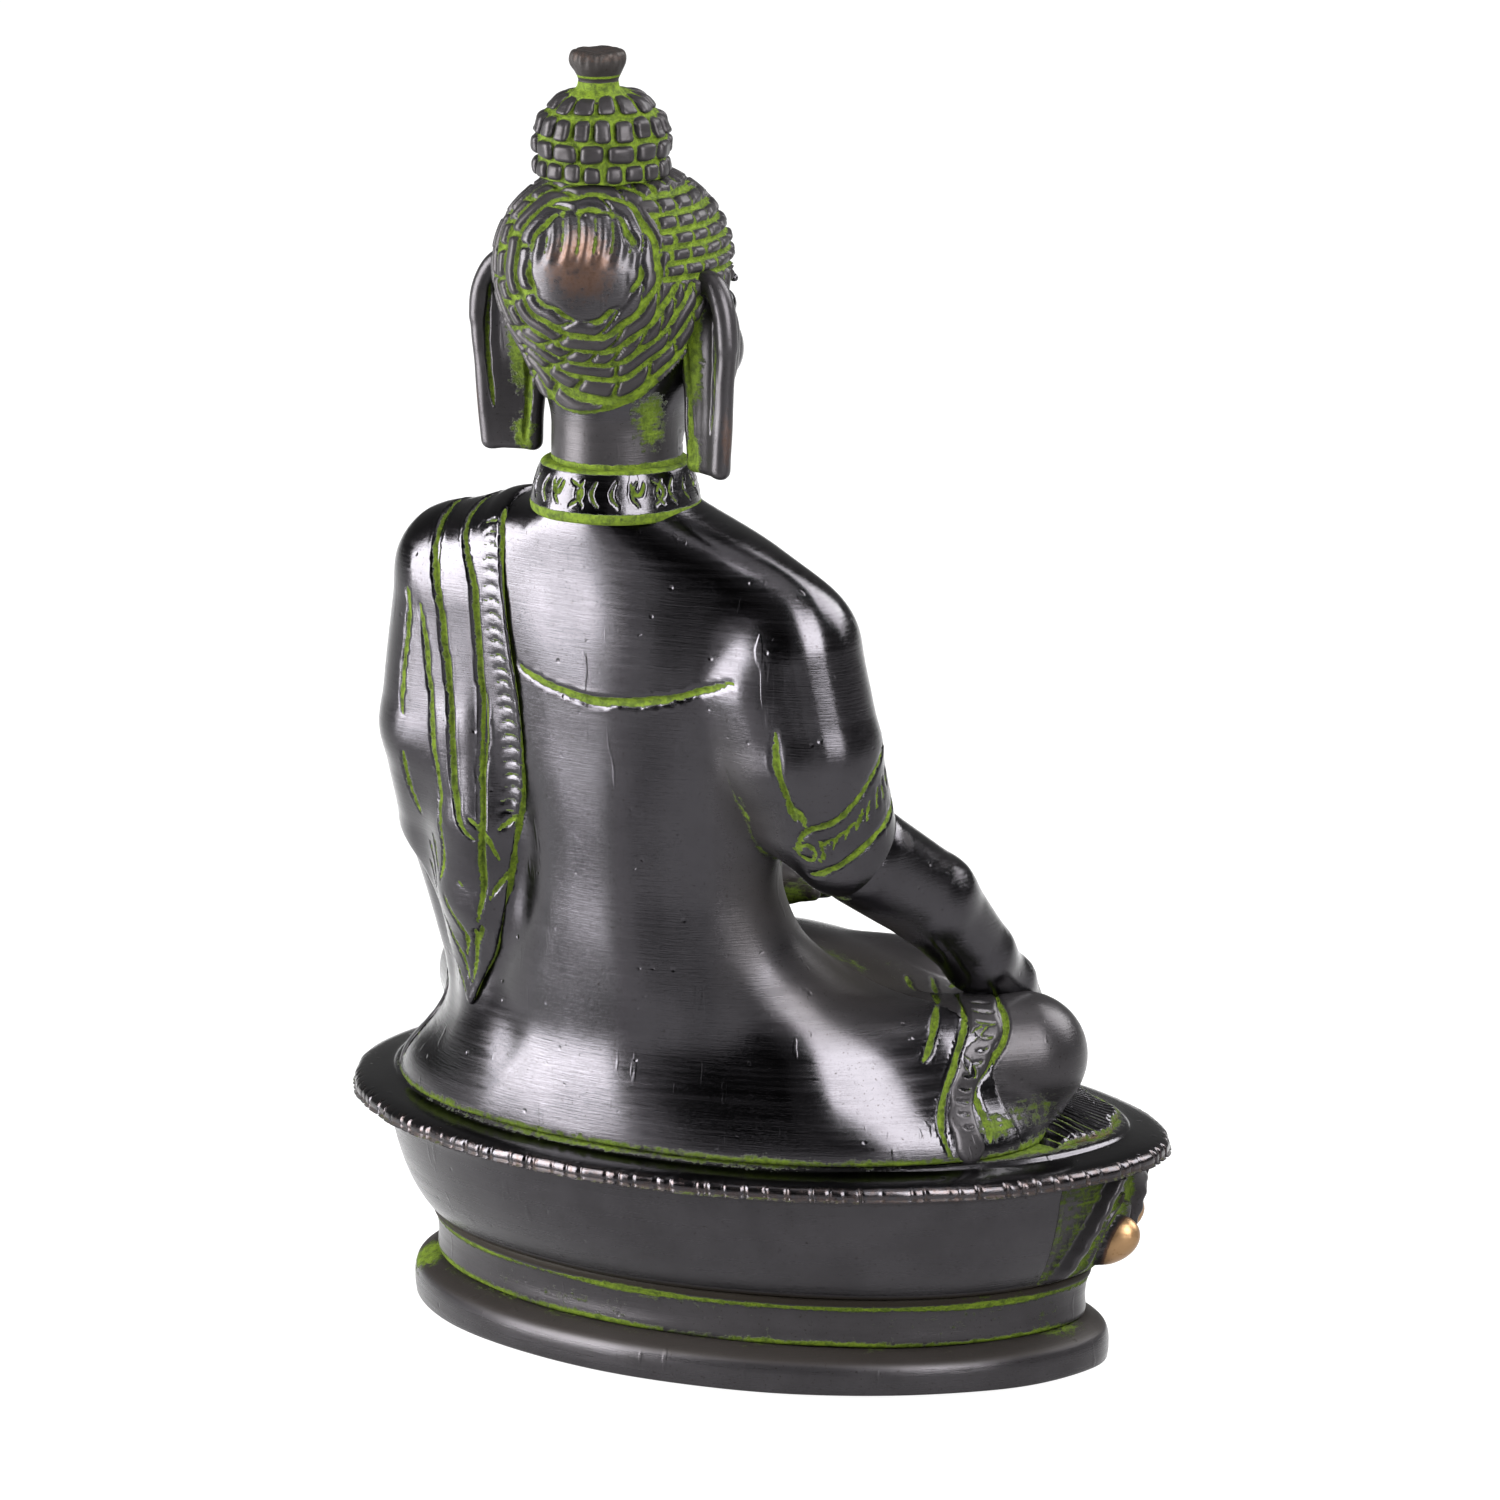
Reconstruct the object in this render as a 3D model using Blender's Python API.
"""Seated Buddha on a lotus pedestal, cast brass with a dark antique finish.

The figure faces -Y and its right hand is on the -X side.  The origin lies
under the middle of the whole statue, level with the foot ring's flat
underside.  Units are metres, +Z is up.
"""

import math

import bmesh
import bpy
from mathutils import Matrix, Vector

MM = 0.001

# Driving dimensions
GAP = 0.3 * MM  # clearance left between touching castings
RIM_X = 66.8 * MM  # half width of the seat plate's milled rim
RIM_BACK, RIM_FRONT = 50.6 * MM, 36.0 * MM  # its reach behind and before the widest line
WIDEST_Y = (RIM_FRONT - RIM_BACK) / 2  # keeps the rim's box centred on the origin
RIM_Z, RIM_THICK = 31.8 * MM, 2.2 * MM
FOOT_INSET = 9.0 * MM  # how far each course of the pedestal stands in from the rim
FOOT_HIGH = 6.0 * MM
WAIST_INSET, WAIST_TOP = 12.6 * MM, 14.2 * MM
WALL = 3.2 * MM  # wall of the hollow pedestal castings
SEAT_TOP = 36.0 * MM  # face that the figure rests on
LEG_JOINT_Y = 7.0 * MM  # upright joint between the legs and the torso
TORSO_TOP = 131.8 * MM
HEAD_Y, HEAD_Z = 33.4 * MM, 163.4 * MM
CROWN_Y, CROWN_Z = 36.0 * MM, 181.2 * MM
TOTAL_HEIGHT = 199.0 * MM

PETALS = 9
PETAL_PITCH = 20.2 * MM
STUD_RADIUS = 2.9 * MM
SEGMENTS = 48

DARK = (0.060, 0.056, 0.060, 1.0)
GREEN = (0.19, 0.33, 0.05, 1.0)
COPPER = (0.19, 0.11, 0.075, 1.0)
STEEL = (0.45, 0.45, 0.46, 1.0)


# ---------------------------------------------------------------- materials


def material(name, colour, roughness, metallic=1.0):
    """One Principled finish, shared by the nodes that wear it."""
    found = bpy.data.materials.get(name)
    if found:
        return found
    made = bpy.data.materials.new(name)
    made.use_nodes = True
    shader = made.node_tree.nodes["Principled BSDF"]
    shader.inputs["Base Color"].default_value = colour
    shader.inputs["Roughness"].default_value = roughness
    shader.inputs["Metallic"].default_value = metallic
    made.diffuse_color = colour
    return made


def antique_brass():
    return material("antique_brass", DARK, 0.34)


def patina_brass():
    return material("patina_brass", GREEN, 0.55)


def worn_brass():
    return material("worn_brass", COPPER, 0.38)


def zinc_steel():
    return material("zinc_steel", STEEL, 0.35)


# ---------------------------------------------------------------- mesh tools


def node(name, bm, finish, smooth=True):
    """Turn a bmesh into a named object with one finish."""
    bmesh.ops.recalc_face_normals(bm, faces=bm.faces)
    mesh = bpy.data.meshes.new(name)
    bm.to_mesh(mesh)
    bm.free()
    for face in mesh.polygons:
        face.use_smooth = smooth
    if finish:
        mesh.materials.append(finish)
    made = bpy.data.objects.new(name, mesh)
    bpy.context.scene.collection.objects.link(made)
    return made


def ellipse(z, half_x, half_y, centre_y=0.0, count=SEGMENTS):
    """Points of a level ellipse, counter-clockwise."""
    turn = 2 * math.pi / count
    return [
        Vector((half_x * math.cos(i * turn), centre_y + half_y * math.sin(i * turn), z))
        for i in range(count)
    ]


def oval_point(angle, inset, z):
    """A point of the pedestal's outline, set in from the rim; it is rounder behind."""
    reach = RIM_BACK if math.sin(angle) > 0 else RIM_FRONT
    x = (RIM_X - inset) * math.cos(angle)
    return Vector((x, WIDEST_Y + (reach - inset) * math.sin(angle), z))


def oval(z, inset):
    """Points all round the pedestal's outline."""
    return [oval_point(i * 2 * math.pi / SEGMENTS, inset, z) for i in range(SEGMENTS)]


def loft(bm, rings, closed=False):
    """Bridge rings of equal length; cap the ends, or join them when closed."""
    made = [[bm.verts.new(point) for point in ring] for ring in rings]
    pairs = list(zip(made, made[1:]))
    if closed:
        pairs.append((made[-1], made[0]))
    for low, high in pairs:
        for i in range(len(low)):
            j = (i + 1) % len(low)
            bm.faces.new((low[i], low[j], high[j], high[i]))
    if not closed:
        bm.faces.new(reversed(made[0]))
        bm.faces.new(made[-1])


def oval_course(name, profile, finish):
    """A ring with the rim's outline: each profile point is (inset, z)."""
    bm = bmesh.new()
    loft(bm, [oval(z, inset) for inset, z in profile], closed=True)
    return node(name, bm, finish)


def ball(bm, centre, radii, turn=None, detail=20):
    """An ellipsoid, with its axes turned by a 3x3 matrix if one is given."""
    place = Matrix.Translation(centre)
    if turn:
        place = place @ turn.to_4x4()
    place = place @ Matrix.Diagonal((*radii, 1.0))
    bmesh.ops.create_uvsphere(bm, u_segments=detail, v_segments=detail // 2, radius=1.0, matrix=place)


def limb(bm, stations, grow=0.0):
    """Tapered round bars through stations given as (x, y, z, radius) in millimetres."""
    balls = [(Vector(s[:3]) * MM, s[3] * MM + grow) for s in stations]
    for start, end in zip(balls, balls[1:]):
        part = bmesh.new()
        for centre, radius in (start, end):
            bmesh.ops.create_icosphere(
                part, subdivisions=2, radius=radius, matrix=Matrix.Translation(centre)
            )
        bmesh.ops.convex_hull(part, input=part.verts)
        inside = [v for v in part.verts if not v.link_faces]
        bmesh.ops.delete(part, geom=inside, context="VERTS")
        scratch = bpy.data.meshes.new("limb")
        part.to_mesh(scratch)
        part.free()
        bm.from_mesh(scratch)
        bpy.data.meshes.remove(scratch)


def evaluated(thing):
    """Swap an object's modifiers for the mesh that they make."""
    seen = thing.evaluated_get(bpy.context.evaluated_depsgraph_get())
    mesh = bpy.data.meshes.new_from_object(seen)
    old = thing.data
    thing.modifiers.clear()
    thing.data = mesh
    bpy.data.meshes.remove(old)
    mesh.name = thing.name
    return thing


def fused(name, bm, finish, voxel, ratio, smoothing=3):
    """One closed skin round every shape in the bmesh, thinned to a light mesh."""
    thing = node(name, bm, finish)
    skin = thing.modifiers.new("skin", "REMESH")
    skin.mode = "VOXEL"
    skin.voxel_size = voxel
    skin.use_smooth_shade = True
    soften = thing.modifiers.new("soften", "SMOOTH")
    soften.iterations = smoothing
    thin = thing.modifiers.new("thin", "DECIMATE")
    thin.ratio = ratio
    return evaluated(thing)


def carve(thing, operation, cutter):
    """Boolean a node with a cutter, which is used up."""
    step = thing.modifiers.new(operation.lower(), "BOOLEAN")
    step.operation = operation
    step.object = cutter
    evaluated(thing)
    mesh = cutter.data
    bpy.data.objects.remove(cutter)
    bpy.data.meshes.remove(mesh)
    return thing


def copy_of(thing, name, finish):
    """A separate object with its own copy of the mesh."""
    made = thing.copy()
    made.data = thing.data.copy()
    made.name = name
    made.data.name = name
    made.data.materials.clear()
    made.data.materials.append(finish)
    bpy.context.scene.collection.objects.link(made)
    return made


def discard(thing):
    mesh = thing.data
    bpy.data.objects.remove(thing)
    bpy.data.meshes.remove(mesh)


def block(low, high):
    """A box cutter between two corners given in millimetres."""
    low, high = Vector(low) * MM, Vector(high) * MM
    bm = bmesh.new()
    size = Matrix.Diagonal((*(high - low), 1.0))
    bmesh.ops.create_cube(bm, size=1.0, matrix=Matrix.Translation((low + high) / 2) @ size)
    return node("cutter_block", bm, None)


def rod(radius, low, high, centre_y=0.0, count=32):
    """An upright round cutter or pin."""
    bm = bmesh.new()
    loft(bm, [ellipse(z, radius, radius, centre_y, count) for z in (low, high)])
    return node("cutter_rod", bm, None)


def plate_through(outline, near, far):
    """A prism along Y through an outline given as (x, z) in millimetres."""
    bm = bmesh.new()
    loft(bm, [[Vector((x, y, z)) * MM for x, z in outline] for y in (near, far)])
    return node("cutter_prism", bm, None)


# ---------------------------------------------------------------- pedestal


def foot_ring():
    """Rounded foot with a flat underside."""
    outer = FOOT_INSET
    inner = FOOT_INSET + 7.5 * MM
    profile = [
        (outer + 0.8 * MM, 0.0),
        (outer, 1.2 * MM),
        (outer, FOOT_HIGH - 2.4 * MM),
        (outer + 0.9 * MM, FOOT_HIGH - 0.7 * MM),
        (outer + 2.6 * MM, FOOT_HIGH),
        (inner, FOOT_HIGH),
        (inner, 0.0),
    ]
    oval_course("foot_ring", profile, antique_brass())


def pedestal_waist():
    """Coved neck between the foot and the lotus drum."""
    low, high = FOOT_HIGH + GAP, WAIST_TOP - GAP
    cove = 0.9 * MM
    profile = [
        (WAIST_INSET - 0.4 * MM, low),
        (WAIST_INSET + cove, low + 2.2 * MM),
        (WAIST_INSET + cove, high - 2.6 * MM),
        (WAIST_INSET - 0.2 * MM, high),
        (WAIST_INSET + WALL, high),
        (WAIST_INSET + WALL, low),
    ]
    oval_course("pedestal_waist", profile, patina_brass())


def drum_inset(z):
    """Inset of the drum's bulging outer face at a height."""
    share = min(max((z - WAIST_TOP) / (RIM_Z - WAIST_TOP), 0.0), 1.0)
    return (5.0 + 6.4 * (1 - share) ** 3.0) * MM


def lotus_drum():
    """Bowl-shaped drum under the seat plate, open above and below."""
    steps = 6
    span = RIM_Z - GAP - WAIST_TOP
    heights = [WAIST_TOP + span * i / steps for i in range(steps + 1)]
    outside = [(drum_inset(z), z) for z in heights]
    inside = [(drum_inset(z) + WALL, z) for z in reversed(heights)]
    oval_course("lotus_drum", outside + inside, antique_brass())


def seat_plate():
    """Plate with a milled rim and a raised step, drilled for the figure's stud."""
    step = 6.4 * MM
    rings = [
        (0.9 * MM, RIM_Z),
        (0.0, RIM_Z + 0.5 * MM),
        (0.0, RIM_Z + RIM_THICK - 0.4 * MM),
        (0.7 * MM, RIM_Z + RIM_THICK),
        (step - 1.2 * MM, RIM_Z + RIM_THICK + 0.3 * MM),
        (step - 0.3 * MM, SEAT_TOP - GAP - 0.3 * MM),
        (step + 0.6 * MM, SEAT_TOP - GAP),
    ]
    bm = bmesh.new()
    loft(bm, [oval(z, inset) for inset, z in rings])
    plate = node("seat_plate", bm, worn_brass())
    carve(plate, "DIFFERENCE", rod(STUD_RADIUS + GAP, RIM_Z - MM, SEAT_TOP + MM))


def rim_walk(distance):
    """Angle on the drum's outline at an arc length from its front, positive towards +X."""
    stride = math.pi / 400
    angle, walked = -math.pi / 2, 0.0
    while walked < abs(distance):
        reach = (RIM_BACK if math.sin(angle) > 0 else RIM_FRONT) - 5 * MM
        walked += math.hypot((RIM_X - 5 * MM) * math.sin(angle), reach * math.cos(angle)) * stride
        angle += stride
    return angle if distance >= 0 else -math.pi - angle


def lotus_petal(number):
    """A pointed petal with a full round swell, laid against the drum."""
    low, high = WAIST_TOP - 0.6 * MM, RIM_Z - GAP
    half_wide = PETAL_PITCH / 2 - 0.3 * MM
    columns, rows = 8, 6
    centre = (number - (PETALS + 1) / 2) * PETAL_PITCH

    def point(u, v, lift):
        z = low + (high - low) * v
        wide = half_wide * (0.30 + 0.70 * math.sin(math.pi * min(0.5, 0.10 + 0.62 * v)))
        angle = rim_walk(centre + u * wide)
        return oval_point(angle, drum_inset(z) - GAP - lift, z)

    def lift(u, v):
        dome = max(0.0, 1 - u * u) * math.sin(math.pi * min(1.0, 0.12 + 0.82 * v)) ** 0.7
        boss = math.exp(-((u / 0.55) ** 2) - ((v - 0.28) / 0.26) ** 2)
        return (0.9 + 2.8 * dome + 3.4 * boss * (1 - u * u)) * MM

    bm = bmesh.new()
    back, front = [], []
    for row in range(rows + 1):
        v = row / rows
        across = [2 * column / columns - 1 for column in range(columns + 1)]
        back.append([bm.verts.new(point(u, v, 0.0)) for u in across])
        front.append([bm.verts.new(point(u, v, lift(u, v))) for u in across])
    for row in range(rows):
        for column in range(columns):
            for sheet in (back, front):
                low_pair = sheet[row][column : column + 2]
                high_pair = sheet[row + 1][column : column + 2]
                bm.faces.new((*low_pair, high_pair[1], high_pair[0]))
    border = [(0, c) for c in range(columns)] + [(r, columns) for r in range(rows)]
    border += [(rows, c) for c in range(columns, 0, -1)] + [(r, 0) for r in range(rows, 0, -1)]
    for (r0, c0), (r1, c1) in zip(border, border[1:] + border[:1]):
        bm.faces.new((back[r0][c0], back[r1][c1], front[r1][c1], front[r0][c0]))
    node(f"lotus_petal_{number}", bm, antique_brass())


def hexagon(z, across_flats=10.0 * MM):
    """A hexagon of 24 points, four to a side, to bridge with a round bore."""
    ring = []
    for i in range(24):
        angle = math.radians(15 * i)
        off_middle = (angle + math.pi / 6) % (math.pi / 3) - math.pi / 6
        reach = across_flats / 2 / math.cos(off_middle)
        ring.append(Vector((reach * math.cos(angle), reach * math.sin(angle), z)))
    return ring


def stud_fixing():
    """Stud that holds the figure, with the washer and nut under the seat plate."""
    stud = rod(STUD_RADIUS, 22 * MM, 48 * MM, count=20)
    stud.name = stud.data.name = "figure_stud"
    stud.data.materials.append(zinc_steel())
    inner = STUD_RADIUS + GAP
    washer_low = RIM_Z - GAP - 1.5 * MM
    nut_high = washer_low - GAP
    for name, outline, low, high in (
        ("stud_washer", lambda z: ellipse(z, 9 * MM, 9 * MM, 0.0, 24), washer_low, RIM_Z - GAP),
        ("stud_nut", hexagon, nut_high - 5 * MM, nut_high),
    ):
        bm = bmesh.new()
        bore = [ellipse(z, inner, inner, 0.0, 24) for z in (high, low)]
        loft(bm, [outline(low), outline(high), *bore], closed=True)
        node(name, bm, zinc_steel(), smooth=False)


# ---------------------------------------------------------------- figure

# Level sections of the robed torso in millimetres: z, centre y, half width, half depth
TORSO = [
    (36.0, 5.4, 54.0, 32.4),
    (40.0, 5.6, 53.0, 31.8),
    (45.0, 6.6, 46.0, 30.2),
    (51.0, 9.6, 38.5, 26.0),
    (58.0, 17.4, 30.0, 19.2),
    (66.0, 22.6, 23.4, 14.9),
    (74.0, 24.2, 20.9, 13.7),
    (84.0, 25.0, 22.0, 13.9),
    (96.0, 26.0, 25.4, 14.2),
    (108.0, 27.3, 30.0, 14.0),
    (116.0, 28.4, 33.4, 13.4),
    (121.0, 29.4, 32.6, 12.8),
    (125.0, 30.6, 28.2, 12.2),
    (128.6, 31.8, 22.8, 11.7),
    (130.6, 32.6, 18.6, 11.4),
    (131.8, 33.0, 14.6, 11.2),
]
RIGHT_UPPER_ARM = [(-31.5, 29.5, 114.0, 8.9), (-32.6, 28.0, 96.0, 8.6), (-32.6, 22.0, 82.0, 7.8)]
LEFT_UPPER_ARM = [(29.5, 29.5, 115.0, 9.4), (33.4, 28.0, 94.0, 9.4), (35.4, 21.0, 78.0, 8.8),
                  (34.6, 14.0, 56.0, 7.6)]
RIGHT_FOREARM = [(-35.2, 17.6, 79.2, 6.8), (-39.4, 6.0, 69.6, 6.0), (-41.8, -1.5, 61.6, 4.8)]
LEFT_FOREARM = [(33.5, 13.0, 74.5, 5.4), (24.0, -4.0, 70.0, 5.0), (16.0, -11.0, 67.5, 4.0)]


def figure_skin(name, grow, ratio):
    """The robed torso, upper arms and crossed legs as one closed skin."""
    bm = bmesh.new()
    rings = [
        ellipse(z * MM, wide * MM + grow, deep * MM + grow, y * MM)
        for z, y, wide, deep in TORSO
    ]
    loft(bm, rings)
    limb(bm, RIGHT_UPPER_ARM, grow)
    limb(bm, LEFT_UPPER_ARM, grow)
    for side in (-1, 1):
        limb(bm, [(side * 24, 18, 46, 11), (side * 47.6, -5.0, 46, 9.4)], grow)
        limb(bm, [(side * 43.5, -7, 44, 8.2), (side * -8, -27, 43.0, 6.8)], grow)
        ball(bm, Vector((side * 17, -14, 55)) * MM, [r * MM + grow for r in (13, 6.5, 4.0)])
    ball(bm, Vector((0, -4, 49)) * MM, [r * MM + grow for r in (34, 24, 11.5)])
    return fused(name, bm, antique_brass(), 1.3 * MM, ratio)


def hollow_core():
    """Inside of the hollow figure, open through the bottom."""
    bm = bmesh.new()
    rings = [
        ellipse(z * MM, wide * MM, deep * MM, y * MM, 28)
        for z, y, wide, deep in (
            (34, 16.0, 38.0, 16.0),
            (46, 17.0, 33.0, 14.5),
            (56, 19.5, 25.0, 12.5),
            (70, 23.3, 16.5, 9.6),
            (90, 25.3, 18.5, 9.6),
            (106, 27.0, 22.0, 9.4),
            (113, 28.0, 16.0, 7.0),
        )
    ]
    loft(bm, rings)
    return node("cutter_core", bm, None)


def seat_cut():
    """Everything below the figure's flat underside."""
    return block((-80, -80, 20), (80, 80, SEAT_TOP / MM))


def body_shell(skin):
    """Hollow torso in its robe, with the sleeves that the forearms enter."""
    shell = copy_of(skin, "body_shell", antique_brass())
    joint = (LEG_JOINT_Y + GAP / 2) / MM
    carve(shell, "DIFFERENCE", seat_cut())
    carve(shell, "DIFFERENCE", block((-80, -80, 20), (80, joint, 68.0)))
    carve(shell, "DIFFERENCE", hollow_core())
    for stations in (RIGHT_FOREARM, LEFT_FOREARM):
        bm = bmesh.new()
        limb(bm, stations, 2 * GAP)
        carve(shell, "DIFFERENCE", fused("cutter_arm", bm, None, 0.6 * MM, 0.12, 1))
    carve(shell, "DIFFERENCE", rod(5.5 * MM + GAP, 121.5 * MM, 140 * MM, HEAD_Y))


def crossed_legs(skin):
    """Folded legs under the lap of the robe, tapped for the stud."""
    legs = copy_of(skin, "crossed_legs", antique_brass())
    joint = (LEG_JOINT_Y - GAP / 2) / MM
    carve(legs, "INTERSECT", block((-80, -80, SEAT_TOP / MM), (80, joint, 67.7)))
    carve(legs, "DIFFERENCE", rod(STUD_RADIUS + GAP, 30 * MM, 48 * MM + GAP))


def raised_trim(name, outer, inner, region, finish):
    """Trim that stands proud of the robe: the grown skin within a region."""
    trim = copy_of(outer, name, finish)
    carve(trim, "INTERSECT", region)
    carve(trim, "DIFFERENCE", copy_of(inner, "cutter_skin", finish))
    return trim


def shoulder_sash(outer, inner):
    """Folded shawl over the left shoulder, ending in a point on the back."""
    outline = [(15.8, 131), (13.6, 110), (12.0, 92), (13.6, 74), (20.6, 55), (28.5, 68),
               (32.0, 82), (34.0, 108), (36.0, 124), (28.0, 134), (15.8, 136)]
    raised_trim("shoulder_sash", outer, inner, plate_through(outline, 24, 60), antique_brass())


def thigh_hems(outer, inner):
    """Robe hem that wraps each thigh over the joint of the legs."""
    for side, name in ((-1, "right_thigh_hem"), (1, "left_thigh_hem")):
        low, high = sorted((side * 36.0, side * 80.0))
        region = block((low, 2.5, 38.5), (high, 11.0, 62))
        raised_trim(name, outer, inner, region, patina_brass())


def forearm(name, stations, hand, inner):
    """Forearm with its hand, entering the sleeve at the elbow and clear of the robe."""
    bm = bmesh.new()
    limb(bm, stations)
    hand(bm, stations[-1])
    arm = fused(name, bm, antique_brass(), 0.8 * MM, 0.14, 1)
    carve(arm, "DIFFERENCE", knee_room(inner))


def knee_room(inner):
    """The grown skin of the legs alone, which keeps a hand clear of them."""
    room = copy_of(inner, "cutter_knee", antique_brass())
    return carve(room, "INTERSECT", block((-80, -80, 30), (80, 12, 72)))


def hand_on_knee(bm, wrist):
    """Palm laid over the knee, fingers pointing down."""
    x, y, z, _ = wrist
    limb(bm, [(x, y, z, 4.2), (x - 0.4, y - 8.0, z - 2.6, 4.0), (x - 0.6, y - 13.5, z - 7.0, 3.4)])
    for finger in range(4):
        across = x - 4.4 + 2.6 * finger
        limb(bm, [(across, y - 14.0, z - 7.0, 2.0), (across, y - 18.6, z - 15.5, 1.7),
                  (across, y - 18.8, z - 20.0, 1.5)])


def hand_in_lap(bm, wrist):
    """Open palm turned up above the lap, fingers towards the figure's right."""
    x, y, z, _ = wrist
    limb(bm, [(x, y, z, 4.0), (x - 6.0, y - 3.5, z + 0.2, 4.0)])
    for finger in range(4):
        spread = -3.6 + 2.4 * finger
        limb(bm, [(x - 7, y - 3.5 + spread, z, 1.9), (x - 17.0, y - 5.0 + spread, z + 0.2, 1.5)])


def collar_band():
    """Conical band round the neck, resting on the shoulders."""
    low, high = TORSO_TOP + GAP, 138.4 * MM
    inner = 9.9 * MM
    bm = bmesh.new()
    rings = [
        ellipse(z, r, r, HEAD_Y, 40)
        for r, z in ((12.6 * MM, low), (12.7 * MM, low + 1.6 * MM), (11.2 * MM, high - 1.2 * MM),
                     (10.7 * MM, high), (inner, high), (inner, low))
    ]
    loft(bm, rings, closed=True)
    node("collar_band", bm, patina_brass())


def skull_balls(bm, room=0.0):
    """The overlapping rounds of the head, grown by some room."""
    for rise, back, radii in (
        (5.6, 0.6, (16.8, 17.8, 12.8)),
        (2.0, 0.0, (17.8, 18.6, 15.0)),
        (-6.0, -3.6, (14.8, 15.2, 14.8)),
        (-18.0, -10.6, (7.0, 6.5, 5.0)),
    ):
        centre = (0, HEAD_Y + back * MM, HEAD_Z + rise * MM)
        ball(bm, centre, [r * MM + room for r in radii], detail=28)


def head():
    """Head with a calm, plain face, a neck and a tenon for the torso's socket."""
    bm = bmesh.new()
    skull_balls(bm)
    y, z = HEAD_Y, HEAD_Z
    limb(bm, [(0, y / MM - 18.0, z / MM, 1.5), (0, y / MM - 19.4, z / MM - 7.5, 2.2)])
    for side in (-1, 1):
        ball(bm, (side * 6.2 * MM, y - 15.4 * MM, z - 0.8 * MM), (4.0 * MM, 2.6 * MM, 2.2 * MM))
    ball(bm, (0, y - 16.4 * MM, z - 13.0 * MM), (4.6 * MM, 2.6 * MM, 2.0 * MM))
    loft(bm, [ellipse(level, 9.5 * MM, 9.5 * MM, y, 32) for level in (TORSO_TOP + GAP, z)])
    skull = fused("head", bm, antique_brass(), 0.9 * MM, 0.11, 1)
    carve(skull, "DIFFERENCE", block((-40, 0, 100), (40, 80, (TORSO_TOP + GAP) / MM)))
    carve(skull, "UNION", rod(5.5 * MM, 123 * MM, 137 * MM, y))
    carve(skull, "DIFFERENCE", block((-40, 0, CROWN_Z / MM), (40, 80, 220)))


def ear(side, name):
    """Long pierced lobe, set against the side of the head and swept back."""
    flare, lean = math.radians(68), math.radians(4)
    turn = Matrix.Rotation(-side * flare, 3, "Z") @ Matrix.Rotation(side * lean, 3, "Y")
    centre = Vector((side * 18.2, 34.6, 151.6)) * MM
    bm = bmesh.new()
    ball(bm, centre + turn @ Vector((0, 0.6 * MM, 6 * MM)), (1.5 * MM, 4.9 * MM, 8.2 * MM), turn)
    ball(bm, centre - turn @ Vector((0, 0.8 * MM, 6 * MM)), (1.6 * MM, 3.8 * MM, 8.6 * MM), turn)
    flap = fused(name, bm, patina_brass(), 0.6 * MM, 0.12, 1)
    clear = bmesh.new()
    skull_balls(clear, 2 * GAP)
    carve(flap, "DIFFERENCE", fused("cutter_head", clear, None, 0.9 * MM, 0.3, 1))


def ushnisha():
    """Topknot in four tiers, standing on the flat of the crown."""
    base = CROWN_Z + GAP
    bm = bmesh.new()
    tiers = [(9.9, 0.0), (10.2, 1.4), (9.4, 3.0), (10.0, 4.4), (9.2, 6.0), (9.0, 7.2), (7.8, 8.6),
             (7.4, 9.6), (5.0, 11.0)]
    rings = [ellipse(base + up * MM, r * MM, r * MM, CROWN_Y, 28) for r, up in tiers]
    loft(bm, rings)
    node("ushnisha", bm, patina_brass())


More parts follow.
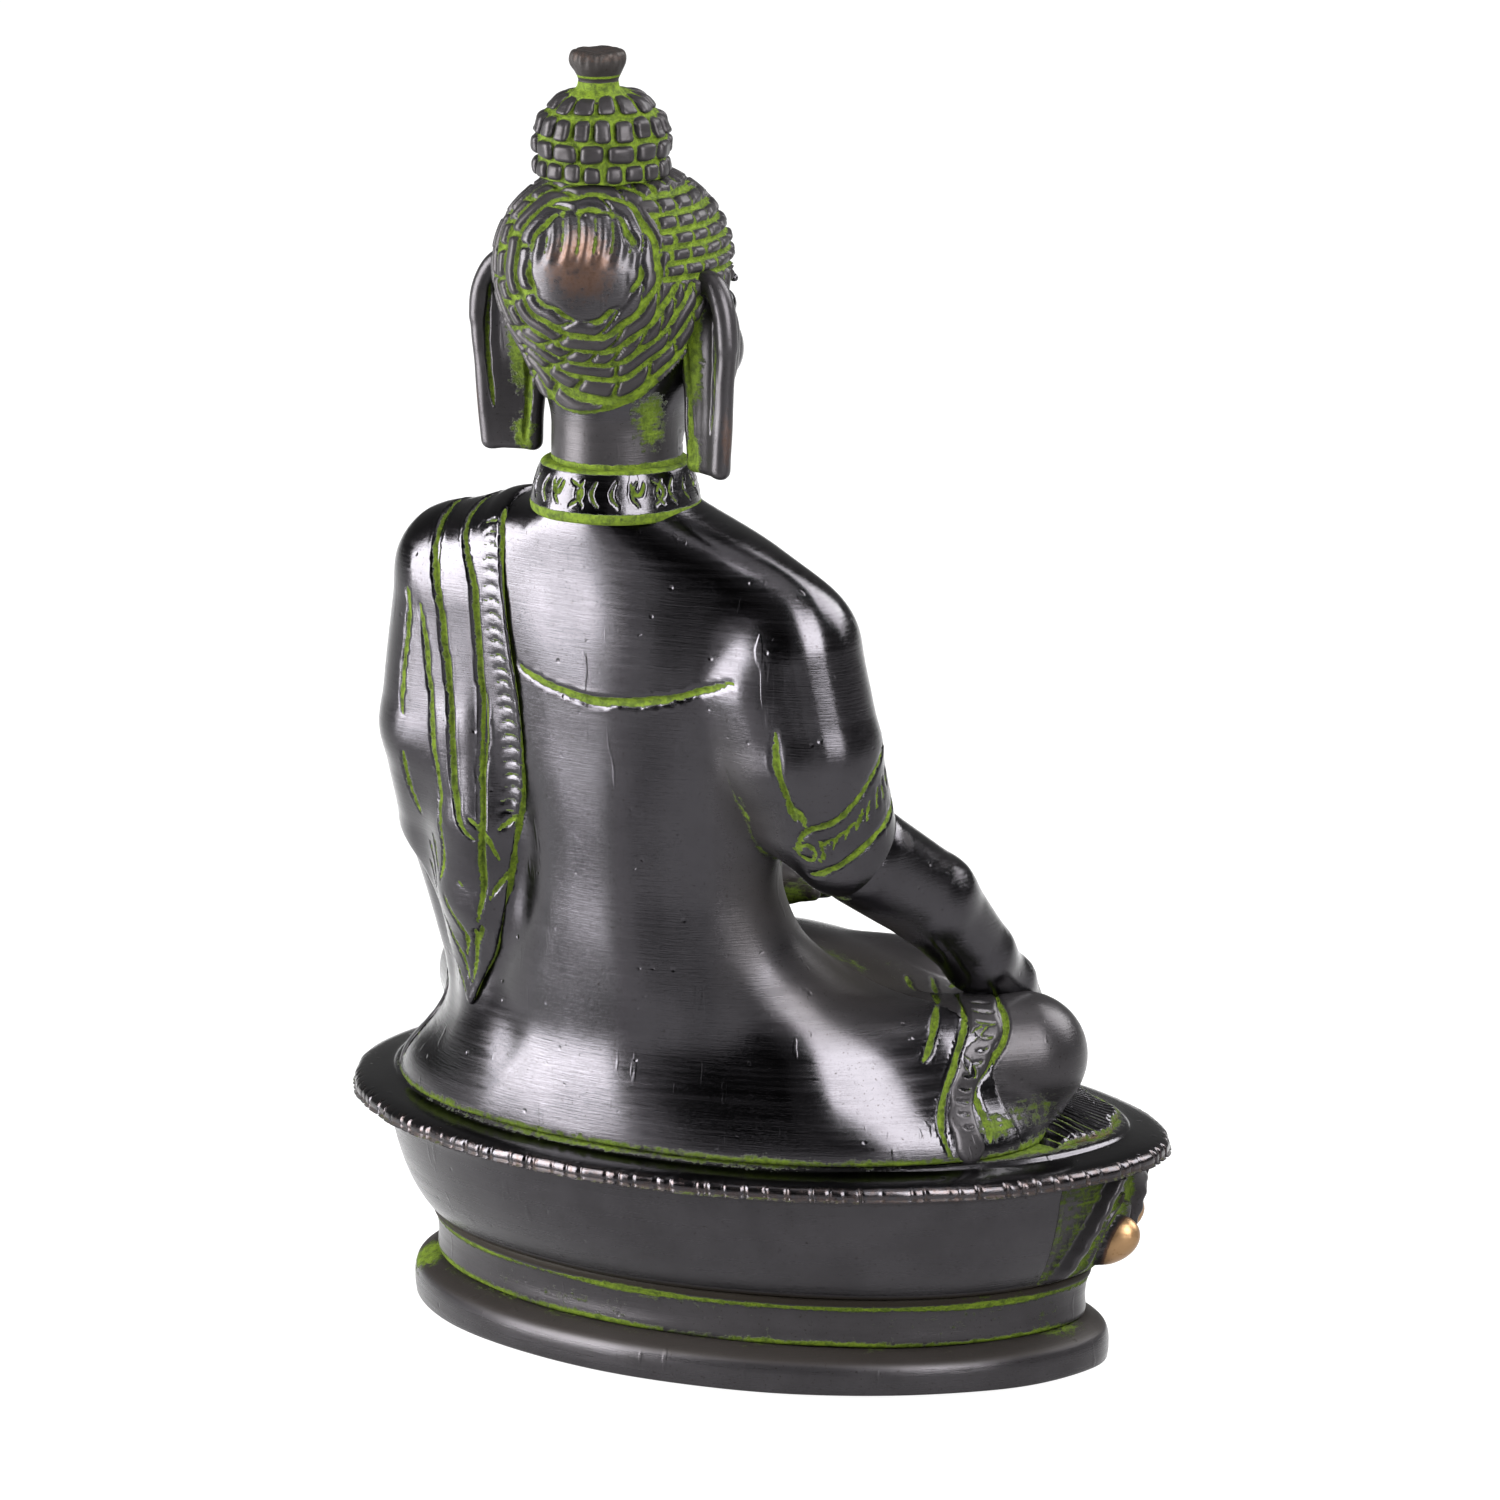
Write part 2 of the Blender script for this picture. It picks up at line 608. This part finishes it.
def finial():
    """Small waisted knob on the topknot."""
    base = CROWN_Z + 11 * MM + 2 * GAP
    rise = TOTAL_HEIGHT - base
    shape = [(3.4, 0.0), (2.5, 0.20), (2.6, 0.38), (3.9, 0.58), (4.1, 0.80), (3.3, 0.96), (2.0, 1.0)]
    bm = bmesh.new()
    rings = [ellipse(base + up * rise, r * MM, r * MM, CROWN_Y + 1.5 * MM, 24) for r, up in shape]
    loft(bm, rings)
    node("finial", bm, worn_brass())


def robe_fan(outer):
    """Pleated hem of the robe, spread on the seat round the front of the legs."""
    pleats = 20
    sweep = [math.radians(184 + 172 * i / pleats) for i in range(pleats + 1)]
    edge = [oval_point(angle, 8.2 * MM, 0.0) for angle in sweep]
    edge += [oval_point(angle, 21.0 * MM, 0.0) for angle in reversed(sweep)]
    bm = bmesh.new()
    loft(bm, [[p + Vector((0, 0, z)) for p in edge] for z in (SEAT_TOP, SEAT_TOP + 1.6 * MM)])
    fan = node("robe_fan", bm, antique_brass())
    carve(fan, "DIFFERENCE", copy_of(outer, "cutter_legs", antique_brass()))


def centre_on_origin():
    """Slide every node so that the whole statue's box is centred over the origin."""
    nodes = [thing for thing in bpy.data.objects if thing.type == "MESH"]
    reach = [vertex.co.y for thing in nodes for vertex in thing.data.vertices]
    for thing in nodes:
        thing.location.y = -(min(reach) + max(reach)) / 2


def clear_scene():
    for thing in list(bpy.data.objects):
        bpy.data.objects.remove(thing)


def build():
    clear_scene()
    foot_ring()
    pedestal_waist()
    lotus_drum()
    seat_plate()
    for number in range(1, PETALS + 1):
        lotus_petal(number)
    stud_fixing()
    skin = figure_skin("skin", 0.0, 0.075)
    inner = figure_skin("inner_skin", 2.4 * GAP, 0.075)
    outer = figure_skin("outer_skin", 2.4 * GAP + 1.3 * MM, 0.075)
    body_shell(skin)
    crossed_legs(skin)
    shoulder_sash(outer, inner)
    thigh_hems(outer, inner)
    forearm("right_forearm", RIGHT_FOREARM, hand_on_knee, inner)
    forearm("left_forearm", LEFT_FOREARM, hand_in_lap, inner)
    robe_fan(outer)
    for helper in (skin, inner, outer):
        discard(helper)
    collar_band()
    head()
    ear(-1, "right_ear")
    ear(1, "left_ear")
    ushnisha()
    finial()
    centre_on_origin()


build()
